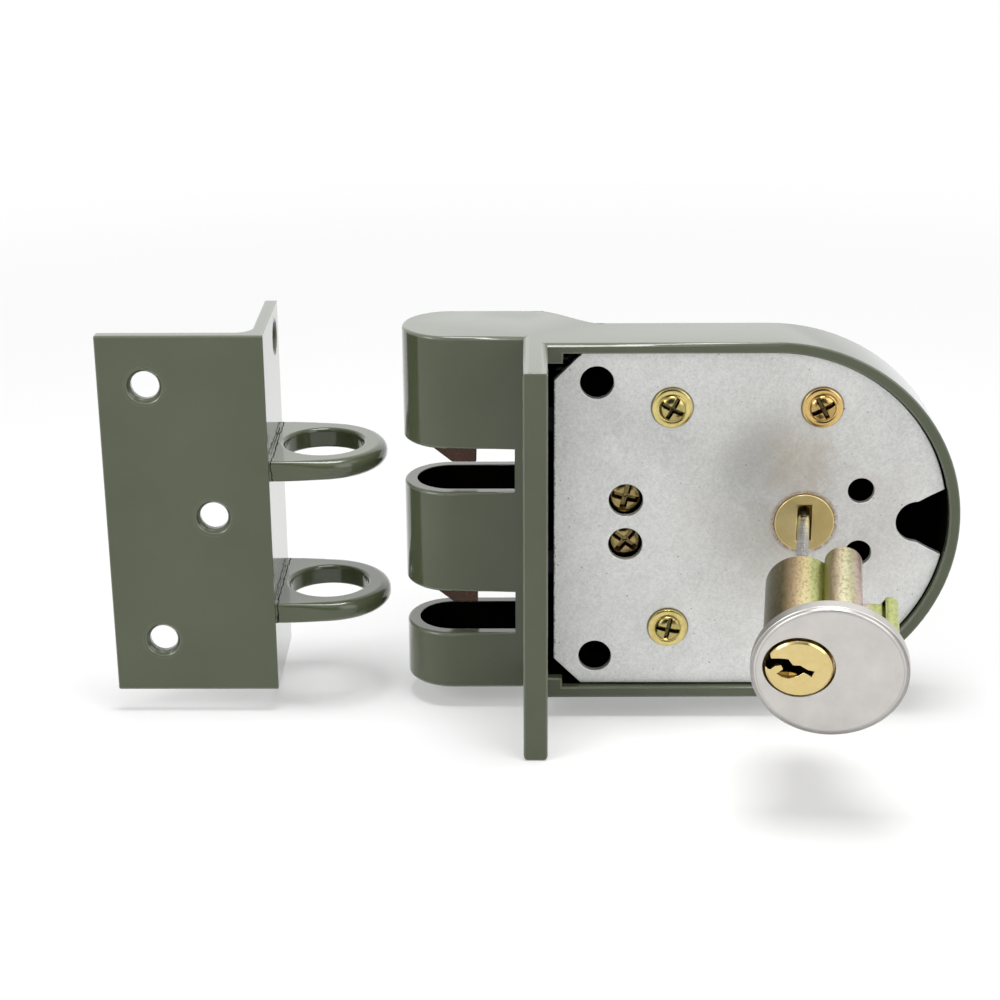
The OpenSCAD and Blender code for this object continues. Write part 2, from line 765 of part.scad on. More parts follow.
// Outline of the keyway, in a frame where +X points to the pins: it is open at the plug's edge
// on the far side, and its wards leave a zig-zag between them
module keyway() polygon([[-2 * plug_r, 2.4], [-7.6, 2.2], [-6.5, 0.5], [-4.5, 1.3], [-3.1, 1.7], [-1.6, 0.6],
    [-0.1, 1.1], [1.8, 0.6], [3.2, 0.8], [3.2, -0.8], [1.2, -0.3], [0.4, -1.7], [-1.2, -3], [-2.6, -3.2],
    [-4, -2.8], [-3.1, -1.2], [-3.9, -0.3], [-5, -1.1], [-5.6, -2.2], [-2 * plug_r, -2.2]]);

module cylinder_plug() color(brass) keyed() difference() {
    y1 = barrel_y1 + plug_end;
    union() {
        rod(plug_face_r - plug_bevel, face_y - plug_proud, face_y - plug_proud + plug_bevel,
            r2 = plug_face_r);
        rod(plug_face_r, face_y - plug_proud + plug_bevel, face_y + plug_t);
        rod(plug_r, face_y, y1);
    }
    translate([0, face_y + key_l, 0]) rotate([90, 0, 0]) linear_extrude(key_l + plug_proud + cut)
        keyway();
    for (i = [0:stacks - 1]) translate([0, stack_y + i * stack_gap, 0]) rotate([0, 90, 0])
        cylinder(h = plug_r + cut, r = chamber_r);
    rod(small_r, y1 - plug_screw_l, y1 + cut);
    difference() {
        rod(plug_r + cut, groove_y, groove_y + groove_t);
        rod(plug_r - groove_deep, barrel_y1 - cut, barrel_y1 + cut);
    }
}

module plug_clip() color(steel) hang() difference() {
    rod(plug_r + clip_rim, groove_y + run, groove_y + run + clip_t);
    rod(plug_r - groove_deep + run, barrel_y1 - cut, barrel_y1 + cut);
    block([-clip_gap / 2, barrel_y1 - cut, -2 * plug_r], [clip_gap / 2, barrel_y1 + cut, 0]);
}

module tailpiece() color(zinc) hang() difference() {
    y0 = barrel_y1 + plug_end + run;
    union() {
        rod(plug_r - end_inset, y0, y0 + end_t);
        block([-tail_t / 2, y0 + fit, -tail_w / 2], [tail_t / 2, tail_y1, tail_w / 2]);
    }
    for (s = [-1, 1]) rod(rivet_r, y0 - cut, y0 + end_t + cut, s * rivet_x);
}

module at_stacks() keyed()
    for (i = [0:stacks - 1]) translate([0, stack_y + i * stack_gap, 0]) rotate([0, 90, 0]) children();

module key_pins() color(brass) at_stacks() translate([0, 0, key_pin_x])
    cylinder(h = plug_r - pin_gap - key_pin_x, r = chamber_r - run);

module driver_pins() color(brass) at_stacks() translate([0, 0, plug_r + pin_gap])
    cylinder(h = driver_l, r = chamber_r - run);

module pin_springs() color(steel) at_stacks() translate([0, 0, plug_r + driver_l + 2 * pin_gap])
    cylinder(h = chamber_x - cap_seat - cap_t - plug_r - driver_l - 3 * pin_gap,
        r = chamber_r - spring_inset);

module chamber_cap() color(brass) keyed()
    block([chamber_x - cap_seat - cap_t, stack_y - cap_end, -cap_w / 2],
        [chamber_x - cap_seat, stack_y1 + cap_end, cap_w / 2]);

// The strike, drawn from its front corner and then put beside the lock
module beside() translate([corner_x, strike_y, strike_z]) children();

module countersunk(r, sink) {
    cylinder(h = strike_t + 2 * cut, r = r);
    translate([0, 0, cut]) cylinder(h = sink - r, r1 = sink, r2 = r);
    cylinder(h = cut + fit, r = sink);
}

module strike_angle() color(paint) beside() difference() {
    linear_extrude(strike_h) difference() {
        union() {
            translate([-leg_w, 0]) square([leg_w, strike_t]);
            translate([-strike_t, 0]) square([strike_t, leg_d]);
            translate([-strike_t - bend_r, strike_t - fit]) square([bend_r + fit, bend_r]);
        }
        translate([-strike_t - bend_r, strike_t + bend_r]) circle(bend_r);
    }
    for (p = front_holes) translate([p[0], -cut, p[1]]) rotate([-90, 0, 0])
        countersunk(strike_hole_r, strike_sink_r);
    translate([cut, side_hole[0], side_hole[1]]) rotate([0, -90, 0])
        countersunk(strike_hole_r, strike_sink_r);
    for (z = [ring_z, ring_z - lobe_step]) block(
        [-strike_t - cut, ring_y - tenon_w / 2 - tenon_gap, z - ring_t / 2 - fit],
        [cut, ring_y + tenon_w / 2 + tenon_gap, z + ring_t / 2 + fit]);
}

// A ring with its straight root and its tenon, centred on z
module ring(z) color(paint) beside() translate([0, 0, z]) difference() {
    union() {
        translate([0, 0, -ring_t / 2]) linear_extrude(ring_t) difference() {
            union() {
                translate([ring_x, ring_y]) circle(ring_r - ring_chamfer);
                translate([fit, ring_y - ring_r]) square([ring_x - fit, 2 * ring_r]);
                translate([-strike_t, ring_y - tenon_w / 2]) square([strike_t + cut, tenon_w]);
            }
        }
        for (s = [-1, 1]) translate([ring_x, ring_y, 0]) scale([1, 1, s])
            intersection() {
                union() {
                    cylinder(h = ring_t / 2 - ring_chamfer, r = ring_r);
                    translate([0, 0, ring_t / 2 - ring_chamfer - fit])
                        cylinder(h = ring_chamfer + fit, r1 = ring_r, r2 = ring_r - ring_chamfer);
                }
                translate([-cut, -2 * ring_r, -cut]) cube([2 * ring_r + 2 * cut, 4 * ring_r, ring_t]);
            }
    }
    translate([ring_x, ring_y, -ring_t]) cylinder(h = 2 * ring_t, r = ring_hole_r);
}

module upper_ring() ring(ring_z);

module lower_ring() ring(ring_z - lobe_step);

case();
back_plate();
plate_screws();
guide_screws();
hub();
cam_arm();
slide_plate();
upper_bolt();
lower_bolt();
bolt_screws();
bolt_spring();
spring_peg();
thumbturn();
turn_screw();
cylinder_body();
cylinder_face();
cylinder_plug();
tailpiece();
plug_clip();
key_pins();
driver_pins();
pin_springs();
chamber_cap();
strike_angle();
upper_ring();
lower_ring();
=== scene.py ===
# Looks of the night latch: finishes, rounded edges, screws, cylinder and stage
import json
import math

import bmesh
import bpy
from mathutils import Euler, Matrix, Vector


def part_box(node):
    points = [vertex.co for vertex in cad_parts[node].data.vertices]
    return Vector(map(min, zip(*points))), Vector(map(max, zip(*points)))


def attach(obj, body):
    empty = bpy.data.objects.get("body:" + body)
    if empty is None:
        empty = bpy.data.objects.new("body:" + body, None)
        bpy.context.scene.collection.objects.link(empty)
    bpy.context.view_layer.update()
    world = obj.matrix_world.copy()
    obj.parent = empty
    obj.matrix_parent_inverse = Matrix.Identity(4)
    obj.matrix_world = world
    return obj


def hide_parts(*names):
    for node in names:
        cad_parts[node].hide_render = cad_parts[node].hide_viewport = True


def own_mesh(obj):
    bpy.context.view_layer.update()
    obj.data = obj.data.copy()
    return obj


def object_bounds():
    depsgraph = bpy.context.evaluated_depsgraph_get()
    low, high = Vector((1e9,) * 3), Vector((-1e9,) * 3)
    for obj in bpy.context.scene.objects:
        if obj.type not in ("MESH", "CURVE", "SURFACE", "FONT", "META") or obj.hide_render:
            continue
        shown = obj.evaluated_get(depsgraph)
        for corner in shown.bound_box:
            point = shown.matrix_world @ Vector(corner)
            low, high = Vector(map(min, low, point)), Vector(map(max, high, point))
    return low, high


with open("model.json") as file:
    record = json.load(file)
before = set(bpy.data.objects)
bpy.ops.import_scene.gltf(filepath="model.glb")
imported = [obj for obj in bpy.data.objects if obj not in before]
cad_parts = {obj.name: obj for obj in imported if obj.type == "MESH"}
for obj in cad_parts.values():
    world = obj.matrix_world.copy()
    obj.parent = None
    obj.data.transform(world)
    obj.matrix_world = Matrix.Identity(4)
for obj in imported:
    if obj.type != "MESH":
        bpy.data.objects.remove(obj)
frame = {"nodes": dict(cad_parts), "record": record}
cad_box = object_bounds()
nodes = frame["nodes"]
behaviour = frame["record"]["behaviour"]
BODY = {node: body for body, held in behaviour["bodies"].items() for node in held}
scene = bpy.context.scene
MM = 0.001

# Case: its walls, lobes and flange, the centre of its round end, and its back
WALL = 2.6 * MM
LOBE_WALL = 3.0 * MM
LOBE_R = 11.35 * MM
FLANGE = 5.6 * MM
ROUND_X = -8.2 * MM
CASE_BACK = 20.0 * MM

# Strike: the holes and tenons of its rings, and the thickness of its leg
RING_HOLE_R = 9.5 * MM
TENON_W = 17.0 * MM
LEG_T = 3.0 * MM

# Screws: radius of their heads, and how far behind a head's top its recess is painted black as shade
PLATE_HEAD_R = 4.75 * MM
GUIDE_HEAD_R = 4.3 * MM
DOME_FROM = 0.75 * MM
GUIDE_FROM = 0.55 * MM

# Hub's radius where it shows in the plate
HUB_R = 7.25 * MM

# Rounded copies: nearer points are merged, flatter faces are one, and sharper edges are rounded
MERGE = 0.001 * MM
FLAT = math.radians(0.6)
SHARP = math.radians(28)


# Shader maths

# Sockets by their place: object coordinates, the colours of a mix, and the rays that see white
OBJECT_POINT = 3
MIX_SHARE, MIX_FIRST, MIX_SECOND, MIX_RESULT = 0, 6, 7, 2
CAMERA_RAY, GLOSSY_RAY, TRANSMISSION_RAY = 0, 3, 6


class Val:
    """A socket that Python's operators turn into Math nodes."""

    def __init__(self, tree, socket):
        self.tree = tree
        self.socket = socket

    def math(self, operation, *others):
        return self.tree.add("ShaderNodeMath", {"operation": operation}, self, *others)[0]

    def __add__(self, other):
        return self.math("ADD", other)

    __radd__ = __add__

    def __sub__(self, other):
        return self.math("SUBTRACT", other)

    def __rsub__(self, other):
        return self.tree.add("ShaderNodeMath", {"operation": "SUBTRACT"}, other, self)[0]

    def __mul__(self, other):
        return self.math("MULTIPLY", other)

    __rmul__ = __mul__

    def __truediv__(self, other):
        return self.math("DIVIDE", other)

    def __pow__(self, other):
        return self.math("POWER", other)

    def above(self, level, soft):
        """0 below level, 1 above level + soft, smooth between."""
        settings = {"interpolation_type": "SMOOTHSTEP"}
        return self.tree.add("ShaderNodeMapRange", settings, self, level, level + soft, 0.0, 1.0)[0]

    def below(self, level, soft):
        return 1 - self.above(level, soft)


class Tree:
    """A material's node tree, with one method that adds any node."""

    def __init__(self, name):
        self.material = bpy.data.materials.new(name)
        self.material.use_nodes = True
        self.nodes = self.material.node_tree.nodes
        self.links = self.material.node_tree.links
        self.nodes.clear()

    def add(self, kind, settings=None, *values, **named):
        node = self.nodes.new(kind)
        for key, value in (settings or {}).items():
            if key == "stops":
                ramp = node.color_ramp
                while len(ramp.elements) < len(value):
                    ramp.elements.new(0.5)
                for element, (place, colour) in zip(ramp.elements, value):
                    element.position = place
                    element.color = (*colour, 1.0)
            else:
                setattr(node, key, value)
        for place, value in [*enumerate(values), *named.items()]:
            if value is None:
                continue
            socket = node.inputs[place if isinstance(place, int) else place.replace("_", " ")]
            if isinstance(value, Val):
                self.links.new(value.socket, socket)
            elif isinstance(value, (tuple, list)) and len(value) == 3 and socket.type == "RGBA":
                socket.default_value = (*value, 1.0)
            else:
                socket.default_value = value
        return [Val(self, output) for output in node.outputs if output.enabled]

    def place(self, centre=(0.0, 0.0, 0.0), turn=(0.0, 0.0, 0.0), stretch=(1.0, 1.0, 1.0)):
        """The piece's own coordinates, seen from a frame at centre that is turned, then stretched."""
        point = self.add("ShaderNodeTexCoord")[OBJECT_POINT]
        local = self.add("ShaderNodeMapping", {"vector_type": "TEXTURE"}, point, centre, turn)[0]
        return self.add("ShaderNodeVectorMath", {"operation": "MULTIPLY"}, local, stretch)[0]

    def split(self, point):
        return self.add("ShaderNodeSeparateXYZ", None, point)

    def noise(self, point, scale, detail=3.0, rough=0.5, warp=0.0):
        return self.add("ShaderNodeTexNoise", None, Vector=point, Scale=scale, Detail=detail,
            Roughness=rough, Distortion=warp)[0]

    def lines(self, value, scale):
        return self.add("ShaderNodeTexNoise", {"noise_dimensions": "1D"}, W=value, Scale=scale,
            Detail=3.0)[0]

    def cells(self, point, scale):
        return self.add("ShaderNodeTexVoronoi", None, Vector=point, Scale=scale)[0]

    def ramp(self, value, *stops):
        return self.add("ShaderNodeValToRGB", {"stops": stops}, value)[0]

    def mix(self, share, first, second):
        node = self.nodes.new("ShaderNodeMix")
        node.data_type = "RGBA"
        for place, value in ((MIX_SHARE, share), (MIX_FIRST, first), (MIX_SECOND, second)):
            socket = node.inputs[place]
            if isinstance(value, Val):
                self.links.new(value.socket, socket)
            else:
                socket.default_value = (*value, 1.0) if isinstance(value, tuple) else value
        return Val(self, node.outputs[MIX_RESULT])

    def bump(self, height, strength, distance, normal=None):
        return self.add("ShaderNodeBump", None, Height=height, Strength=strength, Distance=distance,
            Normal=normal)[0]

    def surface(self, black=None, **sockets):
        """A Principled shader, which gives way to matt black where black is 1."""
        shader = self.add("ShaderNodeBsdfPrincipled", None, **sockets)[0]
        if black is not None:
            matt = self.add("ShaderNodeBsdfPrincipled", None, (0.003, 0.003, 0.0025), Roughness=0.9,
                Specular_IOR_Level=0.0)[0]
            shader = self.add("ShaderNodeMixShader", None, black, shader, matt)[0]
        self.add("ShaderNodeOutputMaterial", None, shader)
        return self.material


def length(a, b):
    """Distance from the middle of a plane, for two coordinates in it."""
    return (a * a + b * b) ** 0.5


# Where the case is hollow, and how the cylinder hangs

case_low, case_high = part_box("case")
plate_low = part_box("back_plate")[0]
HALF_H = case_high.z
EDGE_X = plate_low.x - 1.5 * MM
ROOT_X = EDGE_X - FLANGE - 2.0 * MM
LOBE_X = case_low.x + LOBE_R
LOBE_Y = case_high.y - LOBE_R

joints = {joint["name"]: joint for joint in behaviour["joints"]}
plug_axis = Vector(joints["plug_turn"]["axis"])
HANG_AT = tuple(joints["plug_turn"]["pos_m"])
DROOP = math.asin(plug_axis.z)
SWING = math.atan2(plug_axis.x, plug_axis.y)
HANG = (DROOP, 0.0, -SWING)
HANG_UP = Matrix.Translation(HANG_AT) @ Euler(HANG).to_matrix().to_4x4()


def hung_points(node):
    """A node's points in the cylinder's own frame, whose +Y runs from its face to the hub."""
    take_down = HANG_UP.inverted()
    return [take_down @ v.co for v in nodes[node].data.vertices]


def hung_box(node):
    """Corners of a node in the cylinder's own frame."""
    points = hung_points(node)
    return [Vector([pick(q[i] for q in points) for i in range(3)]) for pick in (min, max)]


disc_low, disc_high = hung_box("cylinder_face")
DISC_AT = tuple(HANG_UP @ ((disc_low + disc_high) / 2))
DISC_R = (disc_high.x - disc_low.x) / 2
PLUG_FRONT = hung_box("cylinder_plug")[0].y
BARREL_REAR = hung_box("cylinder_body")[1].y

# Width over which a mask on the case goes from 0 to 1
FADE = 0.2 * MM


def case_hollow(t):
    """1 on the inner walls of the case and of its lobes, where matt black is painted as shade, 0 on the
    painted outside.
    """
    x, y, z = t.split(t.place())
    rise = z.math("ABSOLUTE")
    past = (LOBE_X - x).math("MAXIMUM", 0.0)
    lobe_way = length(past, y - LOBE_Y)
    in_lobe = lobe_way.below(LOBE_R - LOBE_WALL, FADE) * x.below(ROOT_X, FADE / 2)
    round_way = (x - ROUND_X).math("MAXIMUM", 0.0)
    case_way = length(round_way, rise)
    in_case = case_way.below(HALF_H - WALL, FADE) * x.above(EDGE_X, FADE / 2)
    in_case = in_case * y.above(plate_low.y, FADE * 2) * y.below(CASE_BACK - WALL, FADE)
    return (in_lobe + in_case) * rise.below(HALF_H - WALL, FADE)


# Finishes


def ring_roots(t):
    """1 along the ragged gap where each ring of the strike is let into the leg."""
    x = t.split(t.place())[0]
    gap_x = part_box("upper_ring")[0].x + LEG_T + 0.6 * MM
    ragged = t.noise(t.place(), 420.0, 3.0, 0.6)
    gap = (x - gap_x - (ragged - 0.5) * 1.5 * MM).math("ABSOLUTE")
    return gap.below(0.08 * MM, 0.12 * MM) * 0.92


def gloss_paint(name, shade_and_seams=None, highlight_lift=0.0):
    """Sprayed enamel on a casting: slow waves, faint orange peel, nibs and a little cloudiness."""
    t = Tree(name)
    p = t.place()
    waves = t.noise(p, 55.0, 2.0, 0.45)
    peel = t.noise(p, 800.0, 2.0, 0.5)
    cloud = t.noise(p, 26.0, 3.0, 0.6)
    nibs = t.cells(p, 420.0).below(0.05, 0.04)
    # The lift lightens the whole paint, for the edge paint: a painted highlight along rounded edges
    colour = t.ramp(cloud, (0.3, (0.062 + highlight_lift, 0.074 + highlight_lift, 0.039 + highlight_lift)),
        (0.7, (0.078 + highlight_lift, 0.092 + highlight_lift, 0.052 + highlight_lift)))
    colour = t.mix(nibs * 0.15, colour, (0.15, 0.17, 0.12))
    rough = 0.10 + waves * 0.06 + cloud * 0.05
    height = waves * 0.8 + peel * 0.05 + nibs * 0.05
    normal = t.bump(height, 0.16, 0.0005)
    # Where the mask is 1 the paint gives way to matt black: painted shade in the case's hollows, dark
    # seams at the rings' roots
    return t.surface(shade_and_seams(t) if shade_and_seams else None, Base_Color=colour, Roughness=rough, Normal=normal,
        IOR=1.33, Coat_Weight=1.0, Coat_IOR=1.33, Coat_Roughness=0.09)


# Oval stains on the plate: place from the hub, turn and stretch
GREY_SMEAR = ((-12.0 * MM, 0.0, 17.0 * MM), (0.0, math.radians(28.0), 0.0), (1.0, 1.0, 0.6))
TAN_SMEAR = ((-2.0 * MM, 0.0, 16.0 * MM), (0.0, 0.0, 0.0), (1.0, 1.0, 0.7))
SMEAR_REACH = 10.0 * MM


def smear(t, oval):
    """1 in the middle of an oval stain on the plate, 0 past its reach."""
    x, _, z = t.split(t.place(*oval))
    return length(x, z).below(1.0 * MM, SMEAR_REACH)


def head_way(x, z, node, head):
    """Distance from the nearest screw of a set whose heads stand at the corners of its box."""
    low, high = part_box(node)
    middle = (low + high) / 2
    dx = (x - middle.x).math("ABSOLUTE") - ((high.x - low.x) / 2 - head)
    dz = (z - middle.z).math("ABSOLUTE") - ((high.z - low.z) / 2 - head)
    return length(dx, dz)


def zinc_sheet(name):
    """Zinc-plated sheet: fine even grain, sparse dark specks, soft clouds and warm stains, with painted
    shade round the screw heads and along its left edge.
    """
    t = Tree(name)
    p = t.place()
    x, _, z = t.split(p)
    fine = t.noise(p, 3600.0, 3.0, 0.75)
    grain = t.noise(p, 1300.0, 4.0, 0.7)
    cloud = t.noise(p, 75.0, 6.0, 0.62, 0.6)
    stain = t.noise(p, 24.0, 4.0, 0.6, 0.8)
    value = fine * 0.30 + grain * 0.30 + cloud * 0.20 + stain * 0.20
    colour = t.ramp(value, (0.38, (0.54, 0.545, 0.53)), (0.50, (0.70, 0.705, 0.695)),
        (0.62, (0.85, 0.855, 0.845)))
    specks = t.cells(p, 360.0).below(0.07, 0.03) * grain.above(0.45, 0.1)
    colour = t.mix(specks * 0.7, colour, (0.16, 0.15, 0.14))
    scratch = t.noise(t.place((0, 0, 0), (0, 0.6, 0), (1.0, 1.0, 0.10)), 900.0, 2.0, 0.5)
    colour = t.mix(scratch.above(0.68, 0.06) * 0.16, colour, (0.40, 0.39, 0.38))
    hub_way = length(x, z)
    # Darker, browner clouds round the hub
    hub_darkening = hub_way.below(8.0 * MM, 30.0 * MM) * cloud.above(0.36, 0.25)
    colour = t.mix(hub_darkening * 0.42, colour, (0.40, 0.36, 0.30))
    grey = smear(t, GREY_SMEAR) * (cloud * 0.7 + 0.55)
    colour = t.mix(grey * 0.42, colour, (0.30, 0.30, 0.295))
    tan = smear(t, TAN_SMEAR) * cloud
    colour = t.mix(tan * 0.66, colour, (0.46, 0.38, 0.27))
    rust = (hub_way - HUB_R).math("ABSOLUTE").below(0.2 * MM, 0.8 * MM) * grain.above(0.36, 0.2)
    colour = t.mix(rust * 0.65, colour, (0.30, 0.16, 0.08))
    # A thin dark ring on the plate round each screw head: painted shade where the heads sit
    past_head = head_way(x, z, "plate_screws", PLATE_HEAD_R) - PLATE_HEAD_R
    seat = past_head.math("ABSOLUTE").below(0.12 * MM, 0.22 * MM)
    colour = t.mix(seat * 0.75, colour, (0.08, 0.07, 0.05))
    # A ragged dark band along the plate's left edge, by the flange: painted shade
    left_edge_shade = (x - plate_low.x) - (grain - 0.5) * 2.2 * MM
    colour = t.mix(left_edge_shade.below(0.12 * MM, 0.25 * MM) * 0.7, colour, (0.09, 0.09, 0.08))
    rough = 0.42 + cloud * 0.14 + fine * 0.06
    normal = t.bump(fine * 0.3 + grain * 0.7, 0.22, 0.00008)
    return t.surface(Base_Color=colour, Metallic=0.85, Roughness=rough, Normal=normal)


# Radius of the turned line on a piece that has none
NO_LINE = 1.0


def turned_metal(name, low, high, rough, centre=(0, 0, 0), turn=(0, 0, 0), dish=0.0, line=NO_LINE):
    """Metal turned on a lathe about its own Y axis: fine rings, soft stains and a line near its edge."""
    t = Tree(name)
    p = t.place(centre, turn)
    x, _, z = t.split(p)
    radius = length(x, z)
    lines = t.lines(radius, 2600.0)
    stain = t.noise(p, 160.0, 4.0, 0.6)
    colour = t.ramp(lines * 0.15 + stain * 0.85, (0.3, low), (0.7, high))
    groove = (radius - line).math("ABSOLUTE").below(0.08 * MM, 0.12 * MM)
    colour = t.mix(groove * 0.35, colour, (0.25, 0.24, 0.23))
    level = rough + (lines - 0.5) * 0.04 + (stain - 0.5) * 0.10
    hollowed = t.bump(radius * radius * dish, 1.0, 1.0) if dish else None
    normal = t.bump(lines * 0.2 - groove, 0.06, 0.0001, hollowed)
    return t.surface(Base_Color=colour, Metallic=1.0, Roughness=level, Normal=normal)


def plain_metal(name, low, high, rough, stretch=(1, 1, 1), turn=(0, 0, 0), marks=700.0, metal=1.0,
        depth=0.15, recess=None, shade=1.0, coppery=None):
    """Milled or drawn metal: marks along its length, small pits, soft stains, and matt black painted as
    shade in its recesses.
    """
    t = Tree(name)
    p = t.place()
    mark = t.noise(t.place(HANG_AT, turn, stretch), marks, 4.0, 0.65)
    stain = t.noise(p, 180.0, 4.0, 0.6, 0.3)
    pits = t.cells(p, 1300.0).below(0.12, 0.1)
    colour = t.ramp(mark * 0.5 + stain * 0.5, (0.3, low), (0.7, high))
    level = rough + (mark - 0.5) * 0.14 + (stain - 0.5) * 0.12
    if coppery:
        colour = t.mix(coppery(t) * 0.4, colour, (0.74, 0.40, 0.15))
    black = recess(t) * shade if recess else None
    normal = t.bump(mark * 0.8 - pits * 0.2, depth, 0.00015)
    return t.surface(black, Base_Color=colour, Metallic=metal, Roughness=level, Normal=normal)


# Bands of colour from the barrel's left side to its right, by their place across it: the plating's own
# olive, tan, green and pink casts, with painted highlights in the brightest bands and painted shade in
# the darkest
PLATING_CASTS_AND_PAINTED_LIGHT = (
    (0.00, (0.10, 0.09, 0.05)), (0.15, (0.10, 0.085, 0.03)), (0.26, (0.62, 0.45, 0.27)),
    (0.36, (0.95, 0.82, 0.46)), (0.47, (0.56, 0.60, 0.24)), (0.54, (0.28, 0.29, 0.08)),
    (0.59, (0.28, 0.21, 0.10)), (0.66, (0.96, 0.82, 0.60)), (0.72, (0.88, 0.84, 0.54)),
    (0.79, (0.55, 0.53, 0.32)), (0.86, (0.66, 0.50, 0.44)), (0.91, (0.66, 0.58, 0.52)),
    (0.97, (0.50, 0.55, 0.22)),
)
BANDS_FROM = -8.0 * MM
BANDS_WIDE = 24.0 * MM


def plating_and_painted_light(name):
    """Yellow-zinc plating: olive, tan, green and pink casts in bands along the barrel, painted highlights
    and painted shade among the bands, with grain.
    """
    t = Tree(name)
    p = t.place(HANG_AT, HANG)
    x, y, _ = t.split(p)
    drift = t.noise(t.place(HANG_AT, HANG, (1.0, 0.25, 1.0)), 150.0, 4.0, 0.65, 0.4)
    across = (x + (drift - 0.5) * 3.5 * MM - BANDS_FROM) / BANDS_WIDE
    colour = t.ramp(across, *PLATING_CASTS_AND_PAINTED_LIGHT)
    fine = t.noise(p, 2600.0, 2.0, 0.65)
    grain = t.noise(t.place(HANG_AT, HANG, (1.0, 0.6, 1.0)), 1500.0, 3.0, 0.65)
    dark = grain.below(0.38, 0.14) * 0.38
    colour = t.mix(dark, colour, (0.22, 0.15, 0.08))
    rear = y.above(BARREL_REAR - 0.5 * MM, 0.3 * MM)
    colour = t.mix(rear * 0.75, colour, (0.42, 0.20, 0.10))
    rough = 0.26 + (fine - 0.5) * 0.12 + grain * 0.10
    normal = t.bump(fine * 0.4 + grain * 0.6, 0.30, 0.00012)
    return t.surface(Base_Color=colour, Metallic=0.92, Roughness=rough, Normal=normal)


def screw_recess_shade(t):
    """1 in the cross recesses of the screws, painted matt black there as shade, and a third on the domes
    round them.
    """
    x, y, z = t.split(t.place())
    dark = 0.0
    for node, head, deep in (("plate_screws", PLATE_HEAD_R, DOME_FROM),
            ("guide_screws", GUIDE_HEAD_R, GUIDE_FROM)):
        on_dome = head_way(x, z, node, head).below(0.64 * head, 0.1 * MM)
        behind = y.above(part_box(node)[0].y + deep, 0.35 * MM)
        dark = on_dome * (behind * 0.65 + 0.35) + dark
    return dark.math("MINIMUM", 1.0)


def copper_head(t):
    """1 on the plate screw above the hub, whose plating has gone coppery."""
    x, _, z = t.split(t.place())
    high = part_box("plate_screws")[1]
    head_zone = 12.0 * MM
    return x.above(high.x - head_zone, 1.0 * MM) * z.above(high.z - head_zone, 1.0 * MM)


# Plug: how far its polished face reaches in, and the radius inside which it is bored
PLUG_LIP = 0.55 * MM
PLUG_BORED_R = 6.4 * MM


def keyway_shade(t):
    """1 in the keyway, behind the polished face of the plug, where matt black is painted as shade."""
    x, y, z = t.split(t.place(HANG_AT, HANG))
    return y.above(PLUG_FRONT + PLUG_LIP, 0.7 * MM) * length(x, z).below(PLUG_BORED_R, FADE)


PAINT = gloss_paint("grey_green_paint")
# Lighter paint on the rounded edges: a painted highlight along them
EDGE_HIGHLIGHT_PAINT = gloss_paint("edge_highlight_paint", highlight_lift=0.05)
# Case paint turns matt black on its inner walls: painted shade in its hollows and lobes
CASE_PAINT = gloss_paint("case_paint", case_hollow)
RING_PAINT = gloss_paint("ring_paint", ring_roots)
ZINC = zinc_sheet("zinc_sheet")
# Screws: matt black painted as shade in their cross recesses
SCREW_BRASS = plain_metal("screw_brass", (0.46, 0.36, 0.12), (0.74, 0.63, 0.27), 0.20,
    recess=screw_recess_shade, shade=0.85, coppery=copper_head)
GUIDE_BRASS = plain_metal("guide_brass", (0.20, 0.14, 0.05), (0.52, 0.41, 0.18), 0.16,
    recess=screw_recess_shade, shade=0.62)
# Ward brass, far darker than the plug's: painted shade in the keyway
WARD_SHADED_BRASS = plain_metal("ward_shaded_brass", (0.11, 0.075, 0.025), (0.26, 0.19, 0.08), 0.26)
HUB_BRASS = turned_metal("hub_brass", (0.74, 0.60, 0.27), (0.86, 0.72, 0.36), 0.32, dish=6.0)
SHELL = plating_and_painted_light("plating_and_painted_light")
PLUG_BRASS = plain_metal("plug_brass", (0.62, 0.49, 0.21), (0.72, 0.57, 0.27), 0.18, depth=0.05,
    recess=keyway_shade)
PIN_BRASS = plain_metal("pin_brass", (0.55, 0.42, 0.18), (0.66, 0.52, 0.25), 0.24)
NICKEL = turned_metal("satin_nickel", (0.53, 0.51, 0.485), (0.62, 0.60, 0.575), 0.36, DISC_AT, HANG,
    line=DISC_R - 1.3 * MM)
STEEL = plain_metal("bare_steel", (0.36, 0.36, 0.36), (0.50, 0.50, 0.49), 0.34)
# Slide plate made near black: painted shade inside the case, where it shows through the gaps
SLIDE_SHADE_BLACK = plain_metal("slide_shade_black", (0.012, 0.012, 0.013), (0.025, 0.025, 0.026), 0.45)
TAIL_ZINC = plain_metal("tail_zinc", (0.30, 0.31, 0.33), (0.85, 0.86, 0.88), 0.20, (0.25, 1.0, 0.25),
    HANG, 1900.0, depth=1.0)
BROWN = plain_metal("brown_bolts", (0.030, 0.013, 0.007), (0.070, 0.032, 0.018), 0.26, metal=0.6)

FINISH = {
    "case": CASE_PAINT, "back_plate": ZINC, "plate_screws": SCREW_BRASS, "guide_screws": GUIDE_BRASS,
    "hub": HUB_BRASS, "cam_arm": STEEL, "slide_plate": SLIDE_SHADE_BLACK, "upper_bolt": BROWN,
    "lower_bolt": BROWN, "bolt_screws": STEEL, "bolt_spring": STEEL, "spring_peg": STEEL,
    "thumbturn": PAINT, "turn_screw": STEEL, "cylinder_body": SHELL, "cylinder_face": NICKEL,
    "cylinder_plug": PLUG_BRASS, "tailpiece": TAIL_ZINC, "plug_clip": STEEL,
    "key_pins": PIN_BRASS, "driver_pins": PIN_BRASS, "pin_springs": STEEL,
    "chamber_cap": PIN_BRASS, "strike_angle": PAINT, "upper_ring": RING_PAINT, "lower_ring": RING_PAINT,
}

